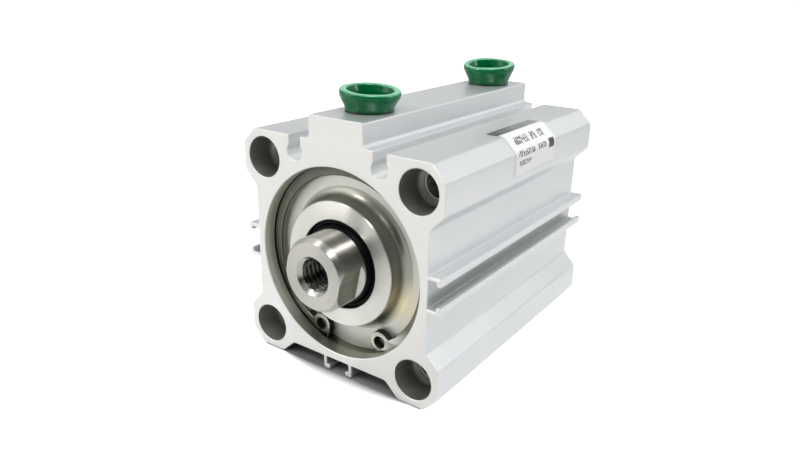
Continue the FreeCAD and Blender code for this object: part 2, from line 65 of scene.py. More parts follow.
# Tube sizes, the first three from its box
LENGTH = -TUBE_LOW[0]
HALF = TUBE_HIGH[1]
BOSS_TOP = TUBE_HIGH[2]
BOSS_HALF = 7.0
CORNER = 22.7
RECESS_FLOOR, RECESS_ROOT, RECESS_MOUTH = 22.8, 13.0, 16.4
RAIL_TOP, RAIL_LIP, RAIL_OUTSIDE, RAIL_INSIDE, RAIL_GAP = 25.8, 1.0, 3.9, 3.1, 2.2
GROOVE_SIDE, GROOVE_LEVEL, GROOVE_RADIUS, GROOVE_NECK, GROOVE_REACH = 11.0, 22.7, 2.05, 3.15, 3.0
EDGE_ROUND, BOSS_ROUND, BOSS_ROOT, CORNER_ROUND, EDGE_BREAK = 0.25, 0.45, 1.0, 1.3, 0.13
BORE, SEAT, SEAT_DEPTH, SEAT_EDGE = 20.0, 21.0, 9.0, 0.15
SNAP_RADIUS, SNAP_FRONT, SNAP_REAR = 22.0, 2.95, 5.05
HEAD_SEAT, LIP_RADIUS, LIP_FACE, LIP_LENGTH, LIP_EDGE = 5.0, 20.25, 0.5, 0.8, 0.1
HOLE_PLACE, HEAD_RADIUS, HEAD_DEPTH, DRILL = 20.0, 4.5, 7.0, 2.55
LABEL_START, LABEL_EDGE = 18.7, 18.1
PORT_RADIUS, PORT_DEPTH, PORT_CHAMFER, PASSAGE, PASSAGE_END = 4.35, 8.0, 0.5, 1.7, 21.5

# Shapes


def bend(before, corner, after, radius, steps):
    """One corner as a tangent arc. Its ends lie radius over the tangent of the half angle from it, at most a
    share of the shorter side, and its points turn evenly about the centre from end to end. A nearly straight
    corner stays a point."""
    largest_share, nearly_straight = 0.45, 0.499 * np.pi
    sides = np.stack([before - corner, after - corner])
    lengths = np.linalg.norm(sides, axis=1)
    sides /= lengths[:, None]
    half = np.arccos(np.clip(sides[0] @ sides[1], -1, 1)) / 2
    if radius == 0 or half > nearly_straight:
        return corner[None]
    cut = min(radius / np.tan(half), largest_share * lengths.min())
    middle = sides.sum(axis=0)
    centre = corner + middle / np.linalg.norm(middle) * cut / np.cos(half)
    ends = corner + sides * cut - centre
    turn = np.pi - 2 * half
    share = np.linspace(0, 1, steps + 1)[:, None]
    return centre + (np.sin((1 - share) * turn) * ends[0] + np.sin(share * turn) * ends[1]) / np.sin(turn)


def rounded(corners, radius, steps=4, closed=True):
    """Corners (n, 2) joined by straight lines, each corner an arc. Radius is one size or one for each."""
    corners = np.asarray(corners, float)
    radii = np.broadcast_to(radius, len(corners))
    spots = zip(np.roll(corners, 1, axis=0), corners, np.roll(corners, -1, axis=0), radii)
    bends = [bend(*spot, steps) for spot in spots]
    if not closed:
        bends[0] = corners[:1]
        bends[-1] = corners[-1:]
    return np.vstack(bends)


def arc(centre, radius, start, end, steps):
    """Points on a circle from one angle to another, in degrees."""
    angles = np.radians(np.linspace(start, end, steps + 1))
    return np.stack([centre[0] + radius * np.cos(angles), centre[1] + radius * np.sin(angles)], axis=-1)


def even_angles(columns):
    """Angles of the columns of a turned surface."""
    return np.arange(columns) * FULL_TURN / columns


def spin(stations, radii, angles, centre=(0.0, 0.0)):
    """A profile carried round a line along X: y and z are the centre plus r cos a and r sin a. Stations and
    radii may be lists or grids of rows by angles. Gives points (rows, angles, 3)."""
    grids = [np.asarray(values, float) for values in (stations, radii)]
    grids = [grid[:, None] if grid.ndim == 1 else grid for grid in grids]
    x, radii = [np.broadcast_to(grid, (len(grid), len(angles))) for grid in grids]
    return np.stack([x, centre[0] + radii * np.cos(angles), centre[1] + radii * np.sin(angles)], axis=-1)


def grid_faces(rows, columns, wrap_rows=False):
    """Quads of a grid of points. Its columns join back to the first, and its rows do where they wrap."""
    index = np.arange(rows * columns).reshape(rows, columns)
    if wrap_rows:
        index = np.vstack([index, index[:1]])
    index = np.hstack([index, index[:, :1]])
    quads = np.stack([index[:-1, :-1], index[:-1, 1:], index[1:, 1:], index[1:, :-1]], axis=-1)
    return quads.reshape(-1, 4)


def thread(stations, angles, pitch, depth):
    """Height of a right-hand V thread, from 0 to depth: a triangle wave of the distance along the axis plus
    a pitch for each turn, cut flat near its crest and root."""
    flat = 0.12
    phase = (stations[:, None] / pitch + angles / FULL_TURN) % 1.0
    wave = 1.0 - np.abs(2.0 * phase - 1.0)
    return depth * np.clip((wave - flat) / (1 - 2 * flat), 0, 1)


def inset(outline, distance):
    """An outline (n, 2) that runs anticlockwise, moved inwards along its own normals."""
    along = np.roll(outline, -1, axis=0) - np.roll(outline, 1, axis=0)
    along /= np.linalg.norm(along, axis=1)[:, None]
    return outline + distance * np.stack([-along[:, 1], along[:, 0]], axis=-1)


def at_x(outline, x):
    """An outline of (y, z) as points at one x."""
    return np.column_stack([np.full(len(outline), x), outline])


class Shell:
    """Rings of points, which surfaces may share, and the faces between them."""

    def __init__(self):
        self.points = np.zeros((0, 3))
        self.faces = []
        self.zones = []

    def ring(self, points):
        """Adds points and gives back their numbers."""
        first = len(self.points)
        self.points = np.vstack([self.points, points])
        return np.arange(first, len(self.points))

    def take(self, faces, zone):
        """Adds faces, with one finish for all or one for each."""
        self.faces += faces.tolist()
        self.zones += np.broadcast_to(zone, len(faces)).tolist()

    def strip(self, one, two, zone, closed=True):
        """Quads between two rings of equal length."""
        quads = np.stack([one, np.roll(one, -1), np.roll(two, -1), two], axis=-1)
        self.take(quads if closed else quads[:-1], zone)

    def tunnel(self, grid, zones):
        """Rows of points as rings with strips between them. Gives the first and last ring."""
        rings = [self.ring(row) for row in grid]
        for one, two, zone in zip(rings, rings[1:], zones):
            self.strip(one, two, zone)
        return rings[0], rings[-1]

    def cap(self, loops, axes, zone):
        """Flat triangles inside the first ring and outside the others, laid out on two of the axes."""
        spread = [np.pad(self.points[loop][:, axes], ((0, 0), (0, 1))).tolist() for loop in loops]
        triangles = np.array(tessellate_polygon(spread))
        self.take(np.hstack(loops)[triangles], zone)

    def end_caps(self, ends, zone):
        """Flat faces between pairs of front and rear rings, the first pair outermost."""
        for loops in zip(*ends):
            self.cap(loops, [1, 2], zone)


def add_object(name, data):
    """A new object in the scene."""
    made = bpy.data.objects.new(name, data)
    bpy.context.scene.collection.objects.link(made)
    return made


def make_piece(name, points, faces, finishes, body, replaced, zones=0, sharp=32):
    """A mesh of points in millimetres, smooth between its sharp edges, that rides on a body in place of a
    CAD node. Zones say which finish a face has."""
    mesh = bpy.data.meshes.new(name)
    corners = np.asarray(points).reshape(-1, 3) * MM
    mesh.from_pydata(corners.tolist(), [], np.asarray(faces, object).tolist())
    for finish in finishes:
        mesh.materials.append(finish)
    zones = np.broadcast_to(zones, len(mesh.polygons)).astype(np.int32)
    mesh.polygons.foreach_set("material_index", zones)
    work = bmesh.new()
    work.from_mesh(mesh)
    bmesh.ops.remove_doubles(work, verts=work.verts, dist=WELD)
    bmesh.ops.dissolve_degenerate(work, edges=work.edges, dist=WELD)
    bmesh.ops.recalc_face_normals(work, faces=work.faces)
    work.to_mesh(mesh)
    work.free()
    mesh.polygons.foreach_set("use_smooth", np.ones(len(mesh.polygons), bool))
    mesh.set_sharp_from_angle(angle=math.radians(sharp))
    piece = add_object("finished_" + name, mesh)
    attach(piece, body)
    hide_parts(replaced)
    return piece


# Node trees

WHITE = (1, 1, 1, 1)
NOISE_RANGE = (0.3, 0.7)
SPOT_RANGE = (0.68, 0.76)


def srgb(red, green, blue):
    """A colour on a screen, 0 to 255, as the linear colour that a socket takes."""
    seen = np.array([red, green, blue]) / 255.0
    linear = np.where(seen <= 0.04045, seen / 12.92, ((seen + 0.055) / 1.055) ** 2.4)
    return (*linear.tolist(), 1.0)


class Graph:
    """Short ways to add nodes to a tree and to join them."""

    def __init__(self, tree):
        self.tree = tree

    def feed(self, socket, value):
        """Joins a socket to another, or sets its own value."""
        if isinstance(value, bpy.types.NodeSocket):
            self.tree.links.new(value, socket)
        else:
            socket.default_value = value

    def node(self, kind, inputs=None, **settings):
        """A new node with its inputs and settings. Gives its outputs."""
        made = self.tree.nodes.new("ShaderNode" + kind)
        for key, value in settings.items():
            setattr(made, key, value)
        for key, value in (inputs or {}).items():
            self.feed(made.inputs[key], value)
        return made.outputs

    def math(self, operation, one, two=0.0):
        """An operation on two values."""
        return self.node("Math", {0: one, 1: two}, operation=operation)[0]

    def plus(self, one, two):
        """A sum."""
        return self.math("ADD", one, two)

    def times(self, one, two):
        """A product."""
        return self.math("MULTIPLY", one, two)

    def weighted(self, one, share, two):
        """A share of one value plus the rest of another."""
        return self.plus(self.times(one, share), self.times(two, 1 - share))

    def vector(self, operation, one, two=(0.0, 0.0, 0.0)):
        """An operation on two vectors. Gives a vector and a value."""
        return self.node("VectorMath", {0: one, 1: two}, operation=operation)

    def scaled(self, vector, sizes):
        """A vector times a vector."""
        return self.vector("MULTIPLY", vector, sizes)["Vector"]

    def parts(self, vector):
        """The three values of a vector."""
        return self.node("SeparateXYZ", {0: vector})

    def joined(self, *values):
        """A vector of up to three values."""
        return self.node("CombineXYZ", dict(enumerate(values)))[0]

    def noise(self, vector, scale, detail=2.0, roughness=0.5):
        """Soft noise, from about 0.25 to 0.75."""
        inputs = {"Vector": vector, "Scale": scale, "Detail": detail, "Roughness": roughness}
        return self.node("TexNoise", inputs)["Fac"]

    def span(self, value, low, high, new_low=0.0, new_high=1.0):
        """A value from low to high, stretched to a new range and held there."""
        inputs = {"Value": value, "From Min": low, "From Max": high, "To Min": new_low, "To Max": new_high}
        return self.node("MapRange", inputs)[0]

    def mix(self, share, one, two):
        """A blend of two colours."""
        return self.node("Mix", {0: share, 6: one, 7: two}, data_type="RGBA")[2]

    def tint(self, share, dark, pale):
        """A blend of two colours, given as they look on a screen."""
        return self.mix(share, srgb(*dark), srgb(*pale))

    def ramp(self, value, stops):
        """Brightness that runs straight between stops, each a place from 0 to 1 and a brightness."""
        made = self.tree.nodes.new("ShaderNodeValToRGB")
        self.feed(made.inputs[0], value)
        points = made.color_ramp.elements
        for place, _ in stops[2:]:
            points.new(place)
        for point, (place, bright) in zip(points, stops):
            point.position = place
            point.color = (bright, bright, bright, 1)
        return made.outputs[0]


def drawn_lines(graph, place, fineness):
    """Lines along X as an extrusion die leaves them: noise that is stretched a long way along X."""
    along = 6.0
    spot = graph.scaled(place, graph.joined(along, fineness, fineness))
    lines = graph.noise(spot, 1.0, detail=3.0, roughness=0.6)
    return {"Lines": graph.span(lines, *NOISE_RANGE)}


def turning_marks(graph, place, fineness):
    """Rings about X as a lathe tool leaves them: noise of the radius on faces and of x on round sides."""
    x, y, z = graph.parts(place)
    radius = graph.math("SQRT", graph.plus(graph.times(y, y), graph.times(z, z)))
    spot = graph.joined(graph.times(radius, fineness), graph.times(x, fineness))
    marks = graph.noise(spot, 1.0, detail=3.0, roughness=0.65)
    return {"Marks": graph.span(marks, *NOISE_RANGE)}


def handling(graph, place, fineness):
    """Faint patches and small spots of wear: soft noise, and the peaks of fine noise."""
    finer = 22.0
    patches = graph.noise(place, fineness, detail=4.0, roughness=0.55)
    spots = graph.noise(place, graph.times(fineness, finer))
    return {"Patches": graph.span(patches, *NOISE_RANGE), "Spots": graph.span(spots, *SPOT_RANGE)}


def new_group(build):
    """A shader group of the values that a function makes of a place and a fineness."""
    tree = bpy.data.node_groups.new(build.__name__, "ShaderNodeTree")
    tree.interface.new_socket("Place", in_out="INPUT", socket_type="NodeSocketVector")
    tree.interface.new_socket("Fineness", in_out="INPUT", socket_type="NodeSocketFloat")
    graph = Graph(tree)
    values = build(graph, *tree.nodes.new("NodeGroupInput").outputs[:2])
    for name in values:
        tree.interface.new_socket(name, in_out="OUTPUT", socket_type="NodeSocketFloat")
    result = tree.nodes.new("NodeGroupOutput").inputs
    for name, value in values.items():
        graph.feed(result[name], value)
    return tree


DRAWN_LINES = new_group(drawn_lines)
TURNING_MARKS = new_group(turning_marks)
HANDLING = new_group(handling)

# Finishes

# Heights of the marks on a surface, in metres
FINE_MARK, TOOL_MARK, GRAIN, SOFT_WAVE = 0.01 * MM, 0.02 * MM, 0.03 * MM, 0.1 * MM
NICK = srgb(120, 115, 105)
# A real film of oil, and a painted warm glow
OIL_FILM, PAINTED_WARM_GLOW = srgb(96, 94, 78), srgb(250, 236, 196)
# Where the painted warm glow centres, and how far it reaches
GLOW_SPOT, GLOW_REACH = (0, 14.8 * MM, -6.8 * MM), 6.5 * MM
# Painted shadow at the plugs' foot, and a painted sheen on their rims
PAINTED_FOOT_SHADOW, PAINTED_RIM_SHEEN = srgb(0, 18, 8), srgb(130, 210, 168)


class Finish(Graph):
    """The graph of a new material, with constants set on its shader's own sockets."""

    def __init__(self, name, constants):
        self.material = bpy.data.materials.new(name)
        self.material.use_nodes = True
        super().__init__(self.material.node_tree)
        self.inputs = self.tree.nodes["Principled BSDF"].inputs
        for key, value in constants.items():
            self.inputs[key].default_value = value
        self.place = self.node("TexCoord")["Object"]

    def group(self, tree, fineness):
        """What a group gives at this place."""
        return self.node("Group", {"Place": self.place, "Fineness": fineness}, node_tree=tree)

    def patches(self, fineness):
        """Faint patches of wear."""
        return self.group(HANDLING, fineness)["Patches"]

    def dress(self, colour, rough, height, strength, distance):
        """Joins up the shader, its normal tilted by the slope of a height that stands for a distance."""
        inputs = {"Height": height, "Strength": strength, "Distance": distance}
        self.feed(self.inputs["Base Color"], colour)
        self.feed(self.inputs["Roughness"], rough)
        self.feed(self.inputs["Normal"], self.node("Bump", inputs)["Normal"])
        return self.material


def extruded(name, dark, pale, metallic):
    """Satin clear anodising over an extrusion: faint lines along the tube, fine grain and pale patches."""
    graph = Finish(name, {"Metallic": metallic})
    lines = graph.group(DRAWN_LINES, 1900.0)["Lines"]
    grain = graph.noise(graph.place, 9000.0, detail=1.0)
    tone = graph.weighted(lines, 0.3, graph.patches(60.0))
    rough = graph.span(graph.plus(tone, grain), 0.2, 1.6, 0.29, 0.39)
    return graph.dress(graph.tint(tone, dark, pale), rough, graph.plus(lines, grain), 0.05, TOOL_MARK)


def milled():
    """Milled end faces: near white, with faint sweeps of the cutter and a few dark nicks."""
    graph = Finish("milled_aluminium", {"Metallic": 0.5})
    wear = graph.group(HANDLING, 130.0)
    skewed = graph.node("Mapping", {"Vector": graph.place, "Rotation": (0.5, 0, 0)})[0]
    sweep = graph.noise(graph.scaled(skewed, (300.0, 160.0, 5200.0)), 1.0)
    tone = graph.weighted(wear["Patches"], 0.6, sweep)
    pale = graph.tint(tone, (236, 235, 231), (246, 245, 242))
    colour = graph.mix(graph.times(wear["Spots"], 0.35), pale, NICK)
    return graph.dress(colour, graph.span(tone, 0.2, 0.8, 0.42, 0.52), sweep, 0.1, TOOL_MARK)


def bored(name, dark, pale, metallic, rough, film):
    """Walls cut by a boring tool: rings about the axis, and a film of oil of some strength at the bottom."""
    graph = Finish(name, {"Metallic": metallic})
    marks = graph.group(TURNING_MARKS, 2600.0)["Marks"]
    tone = graph.weighted(marks, 0.55, graph.patches(120.0))
    oil_and_painted_glow = graph.span(graph.parts(graph.place)[2], -12 * MM, -20 * MM, 0.0, film)
    colour = graph.mix(oil_and_painted_glow, graph.tint(tone, dark, pale), OIL_FILM)
    return graph.dress(colour, graph.span(tone, 0.1, 0.9, rough, rough + 0.12), marks, 0.15, TOOL_MARK)


def turned(name, dark, pale, rough, fineness, relief, fan, metallic=1.0, painted_glow=0.0):
    """Turned metal: fine rings about the rod axis that draw highlights out into a fan. A painted warm glow,
    of some strength, lightens one spot and fades out around it."""
    graph = Finish(name, {"Metallic": metallic, "Anisotropic": fan, "Anisotropic Rotation": 0.25})
    marks = graph.group(TURNING_MARKS, fineness)["Marks"]
    tone = graph.weighted(marks, 0.6, graph.patches(150.0))
    # A painted warm glow, fading out around one spot
    away = graph.vector("DISTANCE", graph.scaled(graph.place, (0, 1, 1)), GLOW_SPOT)["Value"]
    oil_and_painted_glow = graph.span(away, GLOW_REACH, 0.0, 0.0, painted_glow)
    colour = graph.mix(oil_and_painted_glow, graph.tint(tone, dark, pale), PAINTED_WARM_GLOW)
    tangent = graph.node("Tangent", direction_type="RADIAL", axis="X")[0]
    graph.feed(graph.inputs["Tangent"], tangent)
    return graph.dress(colour, graph.span(tone, 0.1, 0.9, rough, rough + 0.08), marks, relief, FINE_MARK)


def plain(name, dark, pale, metallic, rough, fineness=200.0, relief=0.05, gloss=0.5):
    """Moulded, rubbed or plated stuff: two close tones in soft patches, with a slight unevenness."""
    graph = Finish(name, {"Metallic": metallic, "Specular IOR Level": gloss})
    patches = graph.patches(fineness)
    grain = graph.noise(graph.place, fineness * 25)
    rough = graph.span(graph.plus(patches, grain), 0.3, 1.5, rough, rough + 0.12)
    return graph.dress(graph.tint(patches, dark, pale), rough, grain, relief, GRAIN)


def ring_finish():
    """Spring steel, dark from oil, with a painted reflection that lightens it by the lugs at the bottom,
    more so on the right.
    """
    graph = Finish("spring_steel", {"Metallic": 1.0})
    patches = graph.patches(200.0)
    _, y, z = graph.parts(graph.place)
    # Painted reflection: lighter by the lugs at the bottom, more so on the right
    low = graph.span(z, -11.5 * MM, -15.5 * MM)
    painted_reflection = graph.times(low, graph.span(y, -8 * MM, 4 * MM, 0.45, 1.0))
    oil_and_painted_glow = graph.tint(patches, (94, 93, 84), (112, 111, 101))
    bright = graph.tint(patches, (190, 189, 180), (210, 209, 200))
    rough = graph.span(patches, 0.2, 0.8, 0.28, 0.34)
    return graph.dress(graph.mix(painted_reflection, oil_and_painted_glow, bright), rough, patches, 0.02, GRAIN)


def plug_finish(name, middle, tilt, height):
    """Soft glossy plastic, its thin, tilted rim paler by a painted sheen, and a painted shadow at its foot.
    """
    graph = Finish(name, {"Specular IOR Level": 0.3})
    sheen_depth = 0.35
    patches = graph.patches(180.0)
    slope = graph.vector("DOT_PRODUCT", graph.place, (*tilt, 1.0))["Value"]
    foot = (BOSS_TOP + tilt[0] * middle[0] + tilt[1] * middle[1]) * MM
    # Painted sheen, paler along the rim
    thin = graph.span(slope, foot + (height - sheen_depth) * MM, foot + height * MM)
    level = graph.parts(graph.place)[2]
    # Painted shadow in a band at the foot
    above = graph.span(level, (BOSS_TOP + 0.65) * MM, (BOSS_TOP + 0.1) * MM)
    below = graph.span(level, (BOSS_TOP - 0.5) * MM, (BOSS_TOP - 0.1) * MM)
    clean = graph.tint(patches, (0, 100, 56), (0, 114, 66))
    wall = graph.mix(graph.times(above, below), clean, PAINTED_FOOT_SHADOW)
    rough = graph.span(patches, 0.2, 0.8, 0.05, 0.09)
    return graph.dress(graph.mix(thin, wall, PAINTED_RIM_SHEEN), rough, patches, 0.04, SOFT_WAVE)


EXTRUDED = extruded("extruded_aluminium", (214, 217, 218), (222, 224, 225), 0.6)
# A paler, less metallic copy of the extrusion in the keyhole grooves: painted light
GROOVE_PAINTED_LIGHT = extruded("groove_aluminium_painted_light", (234, 236, 236), (240, 242, 242), 0.3)
# A darker copy of the extrusion in the rail channels: painted shade
CHANNEL_PAINTED_SHADE = extruded("channel_aluminium_painted_shade", (194, 197, 197), (204, 207, 207), 0.6)
MILLED = milled()
BORED = bored("bored_aluminium", (218, 223, 209), (234, 238, 226), 0.85, 0.34, 0.7)
SCREW_SEAT = bored("screw_seat_aluminium", (160, 161, 155), (186, 187, 181), 1.0, 0.5, 0.0)
HUB = turned("turned_hub", (216, 215, 208), (232, 231, 225), 0.4, 4200.0, 0.05, 0.95)
# A darker copy of the turned hub in the root fillet: painted shade, with the painted warm glow
HUB_ROOT_PAINTED_SHADE = turned("turned_root_painted_shade", (156, 155, 146), (174, 173, 164), 0.27, 3800.0, 0.05, 0.6, 1.0, 0.75)
# The flange also takes the painted warm glow
COVER = turned("turned_cover", (227, 227, 218), (241, 241, 233), 0.42, 3800.0, 0.05, 0.45, 0.6, 0.75)
PLATE = turned("turned_plate", (190, 189, 185), (214, 213, 209), 0.26, 3000.0, 0.15, 0.5)
ROD = turned("ground_rod", (182, 181, 173), (202, 201, 194), 0.36, 5200.0, 0.015, 1.0)
ROD_TAPER = turned("turned_taper", (182, 181, 173), (202, 201, 194), 0.36, 4200.0, 0.03, 0.8)
ROD_FLAT = plain("milled_flat", (146, 147, 134), (166, 167, 154), 1.0, 0.36, 400.0, 0.02)
# A paler, less metallic copy of the rod's steel on the step at the flats' end: painted light
ROD_STEP_PAINTED_LIGHT = plain("milled_step_painted_light", (238, 237, 231), (247, 246, 241), 0.2, 0.5, 400.0)
ROD_END = turned("turned_rod_end", (182, 181, 174), (200, 199, 193), 0.46, 4200.0, 0.05, 0.6)
COUNTERSINK = plain("countersink", (172, 172, 164), (194, 194, 186), 1.0, 0.18, 700.0, 0.3)
# Darker than the steel around them: painted shade inside the tapped holes
THREAD_PAINTED_SHADE = plain("cut_thread_painted_shade", (70, 71, 67), (98, 99, 93), 1.0, 0.2, 500.0)
SPRING = ring_finish()
SPRING_EDGE = plain("spring_edge", (120, 119, 107), (142, 141, 129), 1.0, 0.35, 300.0, 0.12)
# Painted shade on the ring's holes, lug walls and the band's soft edge
PAINTED_SHADE_DARK = plain("painted_shade_dark", (28, 28, 26), (44, 44, 40), 0.3, 0.5, 400.0)
SCREW = plain("plated_screw", (165, 166, 168), (190, 191, 193), 1.0, 0.3, 300.0)
RUBBER = plain("black_rubber", (5, 6, 5), (11, 12, 11), 0.0, 0.36, 260.0, gloss=0.1)
URETHANE = plain("amber_urethane", (142, 104, 58), (160, 120, 70), 0.0, 0.35)
BRONZE = plain("sintered_bronze", (160, 120, 78), (186, 146, 100), 1.0, 0.4, 500.0, 0.2)
RESIN = plain("wear_resin", (205, 198, 182), (220, 214, 200), 0.0, 0.45)
MAGNET = plain("bonded_magnet", (48, 48, 50), (66, 66, 68), 0.0, 0.55, 600.0, 0.2)

# Tube

BORE_COLUMNS, SCREW_COLUMNS, PORT_COLUMNS = 160, 44, 48
# Where each of the tube's finishes goes
SKIN, FACE, BORE_WALL, SCREW_WALL, THREADED, IN_GROOVE, IN_CHANNEL = range(7)
TUBE_FINISHES = [EXTRUDED, MILLED, BORED, SCREW_SEAT, THREAD_PAINTED_SHADE, GROOVE_PAINTED_LIGHT, CHANNEL_PAINTED_SHADE]


def side_outline():
    """Half of one flat side with its hooked rail, from the corner to the middle, as (out, along)."""
    return np.array([
        (HALF, CORNER), (HALF, RECESS_MOUTH), (RECESS_FLOOR, RECESS_ROOT), (RECESS_FLOOR, RAIL_OUTSIDE),
        (RAIL_TOP, RAIL_OUTSIDE), (RAIL_TOP, RAIL_GAP), (RAIL_TOP - RAIL_LIP, RAIL_GAP),
        (RAIL_TOP - RAIL_LIP, RAIL_INSIDE), (RECESS_FLOOR, RAIL_INSIDE),
    ])


def tube_outline():
    """The extrusion's outline as (y, z), anticlockwise from the left end of the boss top. The left half
    comes down past the keyhole groove, the side and half of the bottom, and the right half mirrors it."""
    neck = GROOVE_NECK / 2
    dip = math.degrees(math.acos(neck / GROOVE_RADIUS))
    groove = arc((GROOVE_SIDE, GROOVE_LEVEL), GROOVE_RADIUS, 180 - dip, 360 + dip, 18)
    side = side_outline()
    lower_side = side[::-1] * (1, -1)
    bottom = side[:, ::-1] * (1, -1)
    half = np.vstack([
        [(BOSS_HALF, BOSS_TOP), (BOSS_HALF, HALF), (GROOVE_SIDE - neck, HALF)], groove,
        [(GROOVE_SIDE + neck, HALF), (CORNER, HALF)], side, lower_side, bottom,
    ])
    side_rounds = [CORNER_ROUND] * 3 + [EDGE_ROUND] * 6
    radii = np.hstack([
        [BOSS_ROUND, BOSS_ROOT, EDGE_ROUND, EDGE_ROUND], np.zeros(len(groove) - 2),
        [EDGE_ROUND, EDGE_ROUND, CORNER_ROUND], side_rounds, side_rounds[::-1], side_rounds,
    ])
    outline = np.vstack([half * (-1, 1), half[::-1]])
    return rounded(outline, np.hstack([radii, radii[::-1]]))


def skin_zones(outline):
    """The finish of each strip of the tube's skin but the last, by where it starts."""
    spots = np.abs(outline[:-1])
    from_groove = np.abs(spots[:, 0] - GROOVE_SIDE)
    above_groove = np.abs(outline[:-1, 1] - GROOVE_LEVEL)
    in_groove = (from_groove < GROOVE_RADIUS + WELD) & (above_groove < GROOVE_REACH)
    out, along = spots.max(axis=1), spots.min(axis=1)
    in_rail = (along < RAIL_INSIDE + WELD) & (out > RECESS_FLOOR - WELD) & (out < RAIL_TOP - RAIL_LIP)
    return np.where(in_groove, IN_GROOVE, np.where(in_rail, IN_CHANNEL, SKIN))


def bore_profile():
    """The bore from front to rear as (depth, radius): the cover's seat with the ring's groove, the piston's
    run, the rear plate's seat and the rolled lip."""
    lip = LENGTH - LIP_FACE
    return np.array([
        (0.0, SEAT + SEAT_EDGE), (SEAT_EDGE, SEAT), (SNAP_FRONT, SEAT), (SNAP_FRONT, SNAP_RADIUS),
        (SNAP_REAR, SNAP_RADIUS), (SNAP_REAR, SEAT), (SEAT_DEPTH, SEAT), (SEAT_DEPTH, BORE),
        (LENGTH - HEAD_SEAT, BORE), (LENGTH - HEAD_SEAT, SEAT), (lip - LIP_LENGTH, SEAT), (lip, LIP_RADIUS),
        (LENGTH - LIP_EDGE, LIP_RADIUS), (LENGTH, LIP_RADIUS + LIP_EDGE),
    ])


def screw_hole_sections(angles):
    """One mounting hole from front to rear: a counterbore and a threaded start at each end, with a plain
    drill between. Gives stations, radii over the angles and the finish of each strip."""
    pitch, thread_height, fillet, edge, lead, crest = 1.0, 0.5, 1.25, 0.12, 0.6, 0.05
    first_turn, last_turn = 0.2, 8.2
    turns = np.arange(HEAD_DEPTH + first_turn, HEAD_DEPTH + last_turn, pitch / 6)
    floor = arc((HEAD_DEPTH - fillet, HEAD_RADIUS - fillet), fillet, 90, 0, 8)
    mouth = [(0.0, HEAD_RADIUS + edge), (edge, HEAD_RADIUS)]
    start = np.vstack([mouth, floor, [(HEAD_DEPTH, DRILL + lead)]])
    cone = np.maximum(DRILL + lead - (turns - HEAD_DEPTH), 0.0)[:, None]
    fade = np.clip((turns[-1] - turns) / pitch, 0, 1)[:, None]
    cut = np.maximum(DRILL - crest + thread(turns, angles, pitch, thread_height) * fade, cone)
    stations = np.hstack([start[:, 0], turns])
    stations = np.hstack([-stations, stations[::-1] - LENGTH])
    radii = np.vstack([np.repeat(start[:, 1:], len(angles), axis=1), cut])
    radii = np.vstack([radii, radii[::-1]])
    half = [FACE] + [SCREW_WALL] * (len(start) - 2) + [FACE] + [THREADED] * (len(turns) - 1)
    return stations, radii, half + [THREADED] + half[::-1]


def port_sections(angles):
    """One air port from the boss top down: a chamfer, a tapered wall whose pipe thread fades at both ends
    and a narrow blind passage. Gives depths and radii over the angles."""
    pitch, thread_height, taper = 0.907, 0.35, 0.02
    depths = np.linspace(PORT_CHAMFER, PORT_DEPTH, 50)
    down = depths[:, None]
    fade = np.clip((down - PORT_CHAMFER) * (PORT_DEPTH - down), 0, 1)
    wall = PORT_RADIUS - taper * down + thread(depths, angles, pitch, thread_height) * fade
    mouth, passage, end = [np.full((1, len(angles)), r) for r in (PORT_RADIUS + PORT_CHAMFER, PASSAGE, 0.0)]
    bottom = BOSS_TOP - PASSAGE_END
    depths = np.hstack([0.0, depths, PORT_DEPTH, bottom, bottom])
    return depths, np.vstack([mouth, wall, passage, passage, end])


def make_tube():
    """The extrusion as one closed shell: its outline carried along X with broken end edges, flat end faces
    around the bore and the screw holes, a flat boss top around the ports, and a wall in each hole."""
    shell = Shell()
    outline = tube_outline()
    small = inset(outline, EDGE_BREAK)
    front_face = shell.ring(at_x(small, 0.0))
    front = shell.ring(at_x(outline, -EDGE_BREAK))
    rear = shell.ring(at_x(outline, EDGE_BREAK - LENGTH))
    rear_face = shell.ring(at_x(small, -LENGTH))
    shell.strip(front_face, front, FACE)
    shell.strip(front, rear, skin_zones(outline), closed=False)
    shell.strip(rear, rear_face, FACE)

    bore = bore_profile()
    zones = [FACE] + [BORE_WALL] * (len(bore) - 3) + [FACE]
    wall = spin(-bore[:, 0], bore[:, 1], even_angles(BORE_COLUMNS))
    ends = [(front_face, rear_face), shell.tunnel(wall, zones)]
    angles = even_angles(SCREW_COLUMNS)
    stations, radii, zones = screw_hole_sections(angles)
    for y in (HOLE_PLACE, -HOLE_PLACE):
        for z in (HOLE_PLACE, -HOLE_PLACE):
            ends.append(shell.tunnel(spin(stations, radii, angles, (y, z)), zones))
    shell.end_caps(ends, FACE)

    angles = even_angles(PORT_COLUMNS)
    depths, radii = port_sections(angles)
    wall = spin(depths, radii, angles)
    mouths = []
    for plug_box in (FRONT_PLUG_BOX, REAR_PLUG_BOX):
        x = (plug_box[0][0] + plug_box[1][0]) / 2
        upright = np.stack([x + wall[..., 1], wall[..., 2], BOSS_TOP - wall[..., 0]], axis=-1)
        mouths.append(shell.tunnel(upright, [BORE_WALL] * (len(depths) - 1))[0])
    boss = np.array([front[0], rear[0], rear[-1], front[-1]])
    shell.cap([boss] + mouths, [0, 1], SKIN)
    make_piece(
        "tube", shell.points, shell.faces, TUBE_FINISHES, "tube", "cylinder_tube",
        shell.zones,
    )


# Turned pieces


